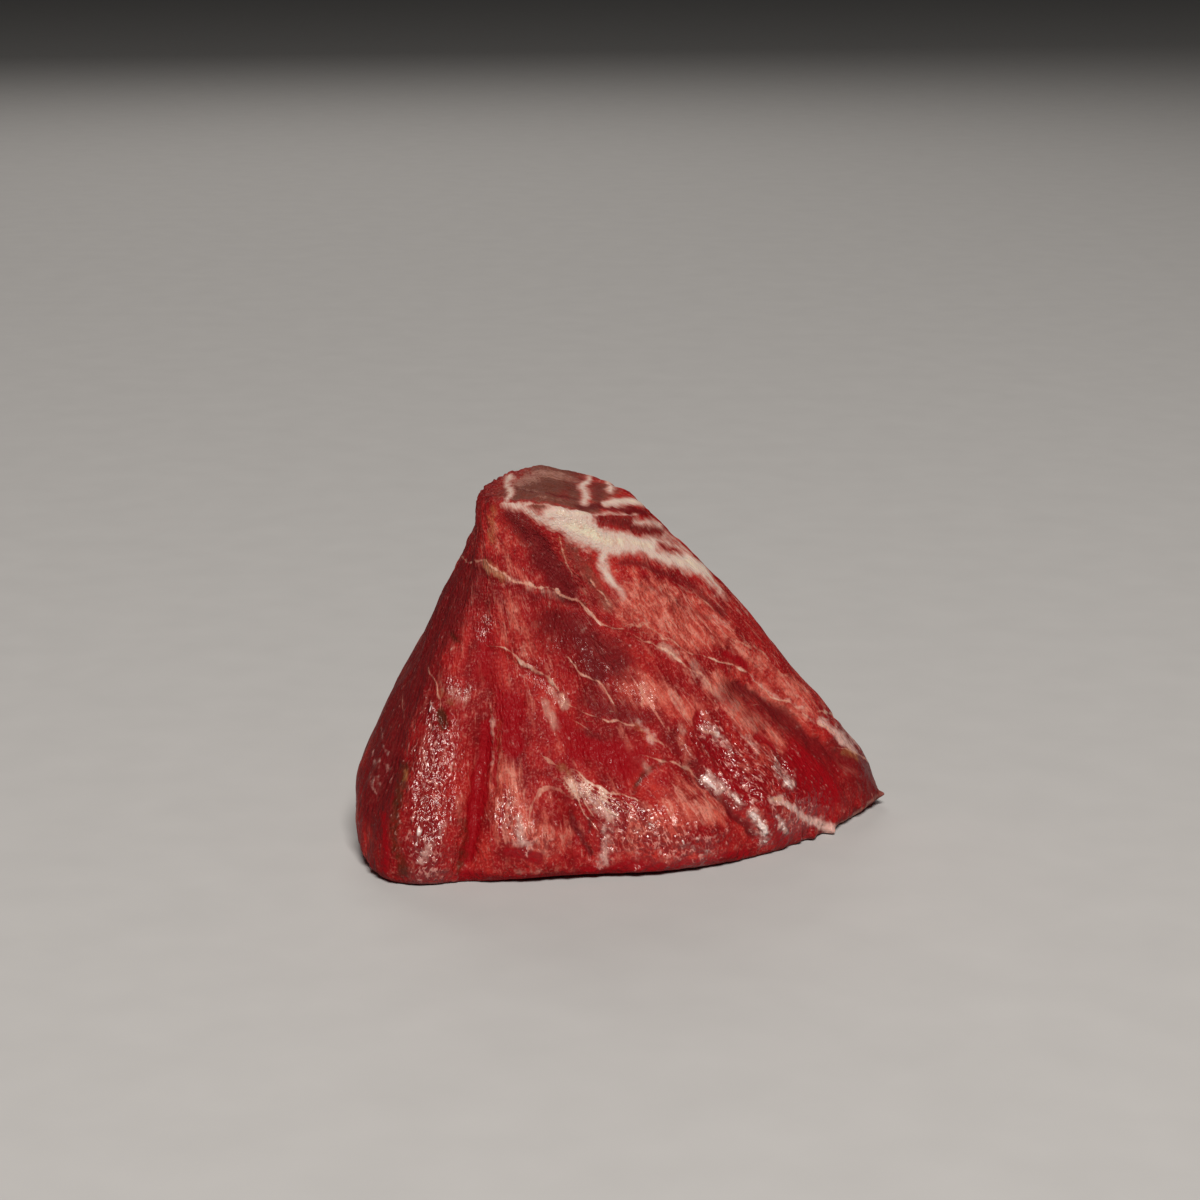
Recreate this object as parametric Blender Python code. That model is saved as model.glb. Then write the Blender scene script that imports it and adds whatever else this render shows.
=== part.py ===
"""A raw tuna steak: one thick wedge of red flesh that stands on its cut foot.

The body is a loft. Seven corner posts run from the foot to the crown, each a smooth line through
a few named stations. At every level the posts are joined into a closed outline of round-cornered
sides, and the outlines are stacked with extruded rings. The crown is a small slanting cut. The
furrows, swellings, hollows and ledges of the muscle are then pressed into the skin of the loft.

Sizes are in millimetres until the mesh is placed. The mesh is in metres, with +Z up, and stands
with the middle of its box over the origin.
"""

import math

import bmesh
import bpy
import numpy as np
from mathutils import Matrix, Vector, noise

MM = 0.001

# The crown: a cut that rises away from its front edge and falls towards the right tip.
CROWN_HEIGHT = 84.4
CROWN_TILT = 0.10
CROWN_FALL = 0.26
CROWN_BACK_Y = 48.0
SHOULDER_X = -17.0
CROWN_ROUND = 2.0
CROWN_RINGS = (0.78, 0.5, 0.22)

# The levels of the rings: close together where the foot curls under and at the crown's edge.
FOOT_LEVELS = (0.0, 0.5, 1.3, 2.4, 4.0, 6.2)
FLANK_STEPS = 24
CROWN_LEVELS = (2.6, 1.2, 0.4, 0.0)
COLUMNS_PER_POST = 14

# The foot draws in under the flesh. Along the front it is cut back further, below a low lip.
FOOT_HEIGHT = 4.2
FOOT_REACH = 4.0
LIP_HEIGHT = 2.4
LIP_REACH = 9.0
LIP_X = 2.0
LIP_HALF_WIDTH = 24.0
LIP_FRONT_Y = 12.0

# Each post: its name, how sharp its corner is, and where it stands (x, y) at each station.
STATIONS = (0.0, 12.0, 30.0, 50.0, 68.0, 84.0)
POSTS = (
    ("left flank", 0.8, ((-63, 16), (-66, 18), (-59.5, 22), (-48, 27), (-38, 31), (-33, 36))),
    ("nose, outer", 1.6, ((-56, -17), (-54, -13), (-47.5, -2), (-40.5, 9), (-34, 17), (-31, 22))),
    ("nose, inner", 1.2, ((-28, -14), (-28.5, -12), (-29, -3), (-28.5, 7), (-26.5, 15), (-24, 20))),
    ("front corner", 1.0, ((31, -7.5), (30.5, -4.5), (21, 5), (9, 13), (1, 19), (-4, 22.5))),
    ("right tip", 2.2, ((70, 42), (68.5, 42.5), (58, 42), (43, 41), (27.5, 39), (8, 38))),
    ("back, right", 1.4, ((38, 80), (37, 77), (31, 71), (21, 63), (11, 57), (0, 53))),
    ("back, left", 1.4, ((-50, 72), (-50, 69), (-46, 63), (-39, 57), (-31, 53), (-22, 51))),
)

# Each form in the skin: its name, the side that it faces, the line that it follows (across, up)
# on that side, how far it spreads from the line, and how far it stands out (minus presses in).
# Across is x on the front and back, and y on the left and right.
FORMS = (
    ("furrow beside the nose", "front", ((-31.5, 28), (-32, 19), (-33.5, 11), (-35, 2)), 3.2, -2.6),
    ("head of the furrow", "front", ((-31.5, 58), (-31.5, 44), (-31, 32)), 4.0, -1.1),
    ("nose bulge", "front", ((-42, 32), (-43, 18), (-44, 6)), 6.0, 1.2),
    ("front column", "front", ((-23, 34), (-22, 20), (-21, 6)), 6.5, 1.3),
    ("upper swell", "front", ((-23, 58), (-19, 55)), 6.5, 1.6),
    ("upper hollow", "front", ((-24, 78), (-17, 68), (-10, 60)), 4.2, -1.5),
    ("middle valley", "front", ((-13, 56), (-8, 48), (-4, 41)), 4.5, -2.0),
    ("shelf below the valley", "front", ((-14, 44), (-7, 37), (3, 33)), 4.0, 0.8),
    ("red bay", "front", ((-8, 33), (-5, 26)), 4.5, -1.0),
    ("tendon fan", "front", ((-15, 31), (-9, 22), (-1, 16)), 3.0, 0.8),
    ("fissure", "front", ((-10, 16), (-9, 9)), 2.0, -1.8),
    ("olive hollow", "front", ((4.5, 21), (6, 20)), 3.2, -2.0),
    ("centre lobe", "front", ((8, 14), (20, 12)), 7.0, 1.2),
    ("groove of the lobe", "front", ((18, 21), (24, 15), (29, 9), (32.5, 2)), 2.4, -1.8),
    ("right lobe", "front", ((32, 18), (38, 13)), 5.0, 0.8),
    ("tuck behind the lobe", "front", ((41, 3), (47, 5)), 5.0, -1.6),
    ("upper ribs", "front", ((6, 58), (18, 48)), 7.0, 0.9),
    ("below the ledge", "front", ((33, 36), (43, 27), (56, 15)), 4.0, -1.6),
    ("ledge", "front", ((29, 47), (41, 35), (53, 24), (59, 17)), 3.6, 1.2),
    ("left hollow", "left", ((2, 24), (-4, 8)), 3.0, -1.2),
    ("left tuck", "left", ((14, 10), (18, 7)), 4.0, -0.8),
    ("left lump, low", "left", ((20, 31), (17, 19)), 5.5, 1.0),
    ("left lump, high", "left", ((25, 54), (27, 60)), 5.0, 0.5),
    ("left dimple", "left", ((23, 41), (24, 46)), 4.0, -0.8),
    ("notch under the crown", "left", ((26, 73), (34, 74)), 3.0, -1.0),
    ("left seam", "left", ((40, 4), (44, 24), (42, 46)), 3.4, -1.6),
    ("back furrow, left", "back", ((-40, 2), (-34, 26), (-28, 52)), 3.6, -2.2),
    ("back furrow, right", "back", ((26, 4), (18, 24), (6, 44)), 3.2, -1.8),
    ("back swell, middle", "back", ((-8, 16), (-10, 42)), 11.0, 2.0),
    ("back swell, right", "back", ((40, 12), (32, 28)), 8.0, 1.4),
    ("back hollow, high", "back", ((-12, 66), (-2, 58)), 5.0, -1.4),
    ("back ledge", "back", ((-24, 36), (-6, 30), (14, 34)), 3.4, -1.2),
    ("right seam", "right", ((56, 2), (58, 22), (54, 40)), 3.2, -1.5),
    ("right swell", "right", ((48, 12), (47, 26)), 5.0, 1.0),
    ("tag at the tip", "right", ((40, 3), (44, 3)), 2.6, 2.2),
)
SIDES = {
    "front": Vector((0, -1, 0)),
    "back": Vector((0, 1, 0)),
    "left": Vector((-1, 0, 0)),
    "right": Vector((1, 0, 0)),
}
FACING_FROM, FACING_FULL = 0.1, 0.5  # a form fades where the skin turns away from its side
UNEVEN_SIZE = 19.0  # the flesh is a little uneven all over: the size of its lumps,
UNEVEN_DEPTH = 0.7  # and how far they stand out
SETTLE_HEIGHT = 5.0  # below this the skin is pressed sideways only, so that the foot stays flat

FLESH_COLOUR = (0.29, 0.035, 0.027)
FLESH_ROUGHNESS = 0.35


def smooth_between(values, at):
    """A smooth line through one (x, y) for each station, read at a height."""
    heights = np.array(STATIONS)
    points = np.array(values, float)
    slopes = np.gradient(points, heights, axis=0)
    i = int(np.clip(np.searchsorted(heights, at) - 1, 0, len(heights) - 2))
    gap = heights[i + 1] - heights[i]
    s = (at - heights[i]) / gap
    return (
        (2 * s**3 - 3 * s**2 + 1) * points[i]
        + (s**3 - 2 * s**2 + s) * gap * slopes[i]
        + (3 * s**2 - 2 * s**3) * points[i + 1]
        + (s**3 - s**2) * gap * slopes[i + 1]
    )


def corner_arc(start, corner, end, sharp, samples=40):
    """A conic arc that leaves one side's middle, rounds the corner and meets the next middle."""
    s = np.linspace(0, 1, samples)[:, None]
    weights = ((1 - s) ** 2, 2 * sharp * s * (1 - s), s**2)
    mixed = weights[0] * start + weights[1] * corner + weights[2] * end
    return mixed / sum(weights)


def even_steps(points, count):
    """Points at equal steps along a line, with its first end and without its last."""
    steps = np.linalg.norm(np.diff(points, axis=0), axis=1)
    run = np.concatenate([[0], np.cumsum(steps)])
    at = np.arange(count) / count * run[-1]
    return np.stack([np.interp(at, run, points[:, k]) for k in range(2)], axis=1)


def outline(height):
    """The closed outline at a height, with the same number of columns round every post."""
    corners = [smooth_between(stations, height) for _, _, stations in POSTS]
    middles = [(a + b) / 2 for a, b in zip(corners, corners[1:] + corners[:1])]
    arcs = []
    for k, (_, sharp, _) in enumerate(POSTS):
        arc = corner_arc(middles[k - 1], corners[k], middles[k], sharp)
        arcs.append(even_steps(arc, COLUMNS_PER_POST))
    return np.vstack(arcs)


def crown_height(x, y):
    """The slanting cut at the top: low at its front edge, and lower still towards the right tip."""
    rise = CROWN_TILT * (y - CROWN_BACK_Y)
    return CROWN_HEIGHT + rise - CROWN_FALL * max(0.0, x - SHOULDER_X)


def quarter_round(distance, height, reach):
    """How far a rounded edge has drawn in, this far from the flat that it meets."""
    if distance >= height:
        return 0.0
    return reach * (1 - math.sqrt(1 - (1 - distance / height) ** 2))


def foot_inset(x, y, z):
    """The foot's round, which turns into the cut-back lip along the middle of the front."""
    lip = math.exp(-(((x - LIP_X) / LIP_HALF_WIDTH) ** 4)) if y < LIP_FRONT_Y else 0.0
    height = FOOT_HEIGHT + lip * (LIP_HEIGHT - FOOT_HEIGHT)
    reach = FOOT_REACH + lip * (LIP_REACH - FOOT_REACH)
    return quarter_round(z, height, reach)


def ring(level):
    """The ring at a level, as if the crown were flat, with the foot and the crown's edge rounded."""
    flat = outline(level)
    centre = flat.mean(axis=0)
    found = []
    for x, y in flat:
        top = crown_height(x, y)
        z = level * top / CROWN_HEIGHT
        inset = foot_inset(x, y, z) + quarter_round(top - z, CROWN_ROUND, CROWN_ROUND)
        towards = centre - (x, y)
        x, y = (x, y) + towards / np.linalg.norm(towards) * inset
        found.append((x, y, z))
    return np.array(found)


def levels():
    """Every ring's level, from the foot to the crown's edge."""
    flank = np.linspace(FOOT_LEVELS[-1], CROWN_HEIGHT - CROWN_LEVELS[0], FLANK_STEPS + 1)
    crown = [CROWN_HEIGHT - below for below in CROWN_LEVELS[1:]]
    return [*FOOT_LEVELS, *flank[1:], *crown]


def place(verts, column, points):
    for vert in verts:
        vert.co = Vector(points[vert[column]])


def grow(bm, edges, column, points):
    """Extrudes the open edge of the loft to a new ring, and gives the new ring's edges."""
    grown = bmesh.ops.extrude_edge_only(bm, edges=edges)["geom"]
    place([g for g in grown if isinstance(g, bmesh.types.BMVert)], column, points)
    return [g for g in grown if isinstance(g, bmesh.types.BMEdge)]


def loft():
    """The plain body: rings stacked from the foot to the crown, and the crown closed inwards."""
    bm = bmesh.new()
    column = bm.verts.layers.int.new("column")
    segments = COLUMNS_PER_POST * len(POSTS)
    made = bmesh.ops.create_circle(bm, segments=segments, radius=1.0)["verts"]
    by_angle = sorted(made, key=lambda v: math.atan2(v.co.y, v.co.x) % (2 * math.pi))
    for index, vert in enumerate(by_angle):
        vert[column] = index
    foot, *upper = levels()
    place(made, column, ring(foot))
    edges = list(bm.edges)
    bmesh.ops.contextual_create(bm, geom=edges)
    for level in upper:
        edges = grow(bm, edges, column, ring(level))
    rim = ring(upper[-1])
    middle = rim.mean(axis=0)
    for share in CROWN_RINGS:
        inner = middle + (rim - middle) * share
        inner[:, 2] = [crown_height(x, y) for x, y, _ in inner]
        edges = grow(bm, edges, column, inner)
    bmesh.ops.contextual_create(bm, geom=edges)
    bmesh.ops.recalc_face_normals(bm, faces=bm.faces)
    return bm


def distance_to_line(point, line):
    """The shortest way from a point to a line of straight stretches, all in the plane of a side."""
    nearest = math.inf
    for start, end in zip(line, line[1:]):
        start, along = Vector(start), Vector(end) - Vector(start)
        share = max(0.0, min(1.0, (point - start).dot(along) / along.length_squared))
        nearest = min(nearest, (point - start - along * share).length)
    return nearest


def relief(point, normal):
    """How far the skin stands out at a point: the forms that lie there, and the uneven flesh."""
    out = UNEVEN_DEPTH * noise.noise(point / UNEVEN_SIZE)
    for _, side, line, spread, stands_out in FORMS:
        facing = (normal.dot(SIDES[side]) - FACING_FROM) / (FACING_FULL - FACING_FROM)
        if facing <= 0:
            continue
        across = point.x if side in ("front", "back") else point.y
        distance = distance_to_line(Vector((across, point.z)), line)
        out += min(1.0, facing) * stands_out * math.exp(-((distance / spread) ** 2))
    return out


def press_relief(bm):
    """Moves every point of the skin in or out. The foot's own points move only sideways."""
    bm.normal_update()
    moves = []
    for vert in bm.verts:
        towards = vert.normal.copy()
        towards.z *= min(1.0, vert.co.z / SETTLE_HEIGHT)
        moves.append(towards * relief(vert.co, vert.normal))
    for vert, move in zip(bm.verts, moves):
        vert.co += move


def middle_of_box(bm):
    """The middle of the box round the mesh, at the height of the foot."""
    points = np.array([vert.co for vert in bm.verts])
    middle = (points.min(axis=0) + points.max(axis=0)) / 2
    return Vector((middle[0], middle[1], points[:, 2].min()))


def raw_flesh():
    """Raw red tuna: dark, wet muscle."""
    material = bpy.data.materials.new("raw_tuna_flesh")
    material.use_nodes = True
    shader = material.node_tree.nodes["Principled BSDF"]
    shader.inputs["Base Color"].default_value = (*FLESH_COLOUR, 1.0)
    shader.inputs["Roughness"].default_value = FLESH_ROUGHNESS
    shader.inputs["Metallic"].default_value = 0.0
    return material


def main():
    for old in list(bpy.data.objects):
        bpy.data.objects.remove(old)
    bm = loft()
    press_relief(bm)
    bmesh.ops.transform(bm, matrix=Matrix.Translation(-middle_of_box(bm)), verts=bm.verts)
    bmesh.ops.transform(bm, matrix=Matrix.Scale(MM, 4), verts=bm.verts)
    mesh = bpy.data.meshes.new("tuna_steak")
    bm.to_mesh(mesh)
    bm.free()
    mesh.shade_smooth()
    mesh.materials.append(raw_flesh())
    steak = bpy.data.objects.new("tuna_steak", mesh)
    bpy.context.scene.collection.objects.link(steak)


main()
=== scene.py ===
# %% [markdown]
# # A raw tuna steak
#
# A thick wedge of raw tuna stands on its cut foot. It is one piece of muscle, so there is one model
# of it, and everything that makes it look like flesh is worked into that model's surface: bundles of
# muscle, pale sheets of connective tissue, a cap of fat near the crown, dark hollows, a wet film, and
# shade, light and highlights painted into the colour.
#
# The imported solid gives the size and the main form. It stays as it is, for collision. What is shown
# is a copy of it with a much finer skin, so the first step is to load the solid and note its box.

# %% Load the imported solid
import math

import bmesh
import bpy
import numpy as np
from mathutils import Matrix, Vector, noise


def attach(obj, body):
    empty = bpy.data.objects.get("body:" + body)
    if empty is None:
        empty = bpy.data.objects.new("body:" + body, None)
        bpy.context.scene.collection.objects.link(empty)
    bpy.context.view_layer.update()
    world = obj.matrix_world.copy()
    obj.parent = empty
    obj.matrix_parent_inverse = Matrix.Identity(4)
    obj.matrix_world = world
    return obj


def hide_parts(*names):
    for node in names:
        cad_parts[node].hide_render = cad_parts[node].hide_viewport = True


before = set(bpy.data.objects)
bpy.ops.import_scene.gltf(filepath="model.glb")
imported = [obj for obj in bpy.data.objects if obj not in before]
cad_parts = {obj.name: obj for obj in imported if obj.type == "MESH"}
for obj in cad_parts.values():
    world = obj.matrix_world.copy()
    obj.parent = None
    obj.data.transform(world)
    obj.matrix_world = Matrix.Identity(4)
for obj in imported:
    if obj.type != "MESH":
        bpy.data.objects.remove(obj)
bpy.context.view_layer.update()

MM = 0.001

# %% [markdown]
# ## A finer skin
#
# The solid is made of flat facets about 3 mm across, which is right for physics and much too coarse
# for flesh. A copy of it is merged into one skin, rounded with a subdivision surface, and remeshed
# into even little squares. An even mesh matters here, because furrows, fibres and fat lines will run
# over it in every direction. A sculptor would do the same before adding detail with a fine brush.

# %% Copy, round and remesh
SKIN_CELL = 0.62
MERGE = 0.02

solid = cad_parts["tuna_steak"]
bm = bmesh.new()
bm.from_mesh(solid.data)
bmesh.ops.remove_doubles(bm, verts=bm.verts, dist=MERGE * MM)
merged = bpy.data.meshes.new("merged_solid")
bm.to_mesh(merged)
bm.free()
rough = bpy.data.objects.new("rough", merged)
bpy.context.scene.collection.objects.link(rough)
rounding = rough.modifiers.new("round the facets", "SUBSURF")
rounding.levels = rounding.render_levels = 2
squares = rough.modifiers.new("even squares", "REMESH")
squares.mode = "VOXEL"
squares.voxel_size = SKIN_CELL * MM
bpy.context.view_layer.update()
skin = bpy.data.meshes.new_from_object(rough.evaluated_get(bpy.context.evaluated_depsgraph_get()))
bpy.data.objects.remove(rough)
skin.name = "tuna_flesh"

bm = bmesh.new()
bm.from_mesh(skin)
for _ in range(3):
    bmesh.ops.smooth_vert(bm, verts=bm.verts, factor=0.5, use_axis_x=True, use_axis_y=True, use_axis_z=True)
bm.to_mesh(skin)
bm.free()
print("skin:", len(skin.vertices), "points,", len(skin.polygons), "squares")

# %% [markdown]
# ## Where each point is, and which way it looks
#
# The marks on the flesh are drawn as routes on five flat charts, one for each way of looking at the
# steak: front and back (x and z), left and right (y and z), and the crown (x and y). Each point of
# the skin gets a weight on every chart from the way it faces. The charts are also wobbled a little
# with noise, because nothing in a muscle runs dead straight.

# %% Points, facings and charts
count = len(skin.vertices)
points = np.empty(count * 3)
skin.vertices.foreach_get("co", points)
points = points.reshape(-1, 3) / MM
facings = np.empty(count * 3)
skin.vertices.foreach_get("normal", facings)
facings = facings.reshape(-1, 3)


def smooth_between(value, low, high):
    """0 below low, 1 above high, and a smooth rise between them."""
    t = np.clip((value - low) / (high - low), 0, 1)
    return t * t * (3 - 2 * t)


def cloud(places, size, octaves=3):
    """Soft noise, about -1 to 1, whose lumps are some size in mm across."""
    return np.array([noise.fractal(Vector(place), 1.0, 2.0, octaves) for place in places / size])


WOBBLE_SIZE = 7.0
WOBBLE = 1.1
WOBBLE_SEED = 3
noise.seed_set(WOBBLE_SEED)
shake = np.array([noise.noise_vector(Vector(place)) for place in points / WOBBLE_SIZE])
fine_shake = np.array([noise.noise_vector(Vector(place)) for place in points * 3 / WOBBLE_SIZE])
wobbled = points + WOBBLE * (shake + 0.4 * fine_shake)

on_top = smooth_between(points[:, 2], 64, 68)
level = smooth_between(facings[:, 2], 0.86, 0.95) * on_top
charts = {
    "front": (wobbled[:, [0, 2]], smooth_between(-facings[:, 1], -0.30, 0.05) * (1 - level)),
    "back": (wobbled[:, [0, 2]], smooth_between(facings[:, 1], 0.10, 0.40)),
    "left": (wobbled[:, [1, 2]], smooth_between(-facings[:, 0], 0.55, 0.80)),
    "right": (wobbled[:, [1, 2]], smooth_between(facings[:, 0], 0.55, 0.80)),
    "crown": (wobbled[:, [0, 1]], smooth_between(facings[:, 2], 0.66, 0.78) * on_top),
}
for side, (_, weight) in charts.items():
    print(side, "chart:", int((weight > 0.5).sum()), "points")

# %% [markdown]
# ## A brush that follows a route
#
# A fat line, a furrow and a pit are all the same thing to a sculptor: a stroke of some width. So one
# function measures, for each point, how far it lies from a route, on which side, and how far along.
# Two kinds of stroke use it. A soft stroke has a strength and fades away like a bell, which suits a
# change of colour. A hard stroke has an edge, and is kept as the distance inside that edge in mm,
# which suits fat and tissue: the finish can then cut a line much finer than the mesh.

# %% Distance to a route
def beside(chart, route):
    """For each chart point: its distance in mm to a route, 1 where it is left of it and else 0, and
    how far along the route it lies, from 0 to 1."""
    nearest = np.full(len(chart), 1e9)
    left, along = np.zeros(len(chart)), np.zeros(len(chart))
    legs = list(zip(route, route[1:]))
    whole = sum(math.dist(*leg) for leg in legs)
    done = 0.0
    for start, end in legs:
        run = np.subtract(end, start)
        gone = chart - start
        t = np.clip(gone @ run / (run @ run), 0, 1)
        away = gone - t[:, None] * run
        distance = np.hypot(away[:, 0], away[:, 1])
        closer = distance < nearest
        nearest = np.where(closer, distance, nearest)
        left = np.where(closer, run[0] * gone[:, 1] - run[1] * gone[:, 0] > 0, left)
        along = np.where(closer, (done + t * math.dist(start, end)) / whole, along)
        done += math.dist(start, end)
    return nearest, left, along


patchy = 1 + 0.30 * cloud(points, 6.0, 2)


# %% Soft strokes
def lay(strokes):
    """The strongest soft stroke at each point. A stroke is a chart, a strength, a reach in mm (or one
    for the left of its route and one for the right), and the route's points in mm."""
    laid = np.zeros(count)
    for side, strength, reach, *route in strokes.values():
        chart, weight = charts[side]
        left_reach, right_reach = reach if isinstance(reach, tuple) else (reach, reach)
        distance, left, _ = beside(chart, route)
        away = distance / (np.where(left > 0, left_reach, right_reach) * patchy)
        laid = np.maximum(laid, strength * weight * np.exp(-(away**2)))
    return laid


# %% Hard strokes
OUTSIDE = -3.0


def half_width_along(half_width, along):
    """A stroke's half width in mm, which may change evenly from its start to its end."""
    first, last = half_width if isinstance(half_width, tuple) else (half_width, half_width)
    return (first + (last - first) * along) * patchy


def inside(strokes):
    """How far inside the edge of the nearest hard stroke each point lies, in mm. A stroke is a chart,
    a half width in mm (or one for each end), and the route's points."""
    depth = np.full(count, OUTSIDE)
    for side, half_width, *route in strokes.values():
        chart, weight = charts[side]
        distance, _, along = beside(chart, route)
        here = half_width_along(half_width, along) - distance + (1 - weight) * OUTSIDE
        depth = np.maximum(depth, here)
    return depth

# %% [markdown]
# ## Fat and connective tissue
#
# Where the loin met the skin there is a thick cap of cream fat, and from it pale bands run along the
# ridge. Between the muscle flakes lie thin sheets of connective tissue, the myosepta, which show as
# fine broken lines a third of a millimetre wide. The two get separate masks, because fat is thick,
# soft and cream, while the septa are hair thin.

# %% Strokes of fat
FAT = {
    "cap of fat": ("front", (1.9, 3.3), (-15.4, 77.6), (-12.6, 76.2), (-9.4, 74.3)),
    "foot of the cap": ("front", (3.2, 2.1), (-9.4, 74.2), (-4.7, 72.0), (0.3, 70.9)),
    "patch over the cap": ("front", (1.4, 1.4), (-18.6, 79.2), (-14, 78.8), (-8.4, 78)),
    "long band": ("front", (2.3, 1.8), (0.3, 71), (3.9, 69.9), (7.7, 68.2), (12.1, 65.8), (16.8, 62.6)),
    "end of the long band": ("front", (1.8, 0.5), (16.8, 62.6), (19.5, 60.2), (22.6, 57.4)),
    "line past the band": ("front", (0.5, 0.1), (22.6, 57.4), (25.6, 54), (30.2, 49.5)),
    "band below the crown": ("front", (0.7, 1.1), (-28.6, 81.2), (-24.1, 80.2), (-19.9, 78.2), (-16.2, 76.2)),
    "band by the crown": ("crown", (0.5, 1.3), (-28.2, -8), (-24, -9.4), (-19, -9.8)),
    "white tendon": ("front", (0.8, 0.9), (-1.6, 69.2), (-5, 69.4), (-5.3, 67.6), (-3.9, 64.4)),
    "foot of the tendon": ("front", (0.9, 0.3), (-3.9, 64.4), (-2.2, 61.6), (-0.2, 58.6)),
    "band at the crown": ("crown", (1.2, 1.7), (-4.6, 1.6), (-2, 5), (0.8, 9), (4.5, 13)),
    "pale line": ("crown", (0.35, 0.6), (-8, -6.4), (-2.1, -1.4), (2.7, 3), (7.8, 7.4), (12, 11)),
    "pale line, front": ("front", (0.5, 0.4), (2.7, 75.4), (7.8, 72.9), (12, 70), (16, 66.4)),
    "second pale line": ("front", (0.3, 0.4), (9.8, 70), (13, 67.9), (17, 64.9)),
    "left edge of the crown": ("crown", (0.9, 0.7), (-28, 11), (-27.2, 2), (-26.8, -4), (-28.2, -8)),
    "right edge of the crown": ("crown", (0.5, 1.1), (-8, 27), (-8.4, 15), (-9.7, 7), (-10.2, -1.5)),
    "peak": ("crown", (0.5, 0.9), (-4, 9), (-2.8, 16), (-3.6, 22)),
    "back edge of the crown": ("crown", (0.6, 1.3), (-27, 24), (-20, 30), (-9, 28)),
    "band at the back": ("back", (0.2, 2.6), (-25, 79.4), (-14, 75.5), (-4, 70.5), (6, 64)),
    "end of the band at the back": ("back", (2.4, 0.4), (6, 64), (13, 58), (19, 51)),
    "thin band at the back": ("back", (0.2, 0.9), (-18, 80.5), (-6, 76.5), (2, 73)),
    "end of the thin band": ("back", (0.9, 0.1), (2, 73), (8, 69.6), (13, 65)),
}
BARE = {
    "spot in the band": ("front", (0.7, 0.4), (8.6, 68.5), (13.8, 65.8)),
    "finger beside the tendon": ("front", (0.4, 0.9), (-8.6, 71), (-6.9, 67.6), (-5.6, 63)),
    "under the curl": ("front", 0.8, (-3.6, 67.6), (2, 66.8)),
    "past the ridge": ("right", (0.5, 2.6), (11.5, 66), (9.5, 56), (7, 50)),
}
fat = np.clip(np.minimum(inside(FAT), -inside(BARE)), OUTSIDE, 4)
print("fat covers", int((fat > 0).sum()), "points")

# %% [markdown]
# A septum is thinner than the mesh's squares, so a plain mask would turn it into a string of beads.
# What is stored instead is each point's distance to the nearest septum, with a sign for the side.
# That runs evenly through zero across the line, so the finish can find the line itself exactly. The
# fan of tendon is many strands side by side. Every other one runs backwards, so that the sides which
# face each other have the same sign, and no false line shows between them.

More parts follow.
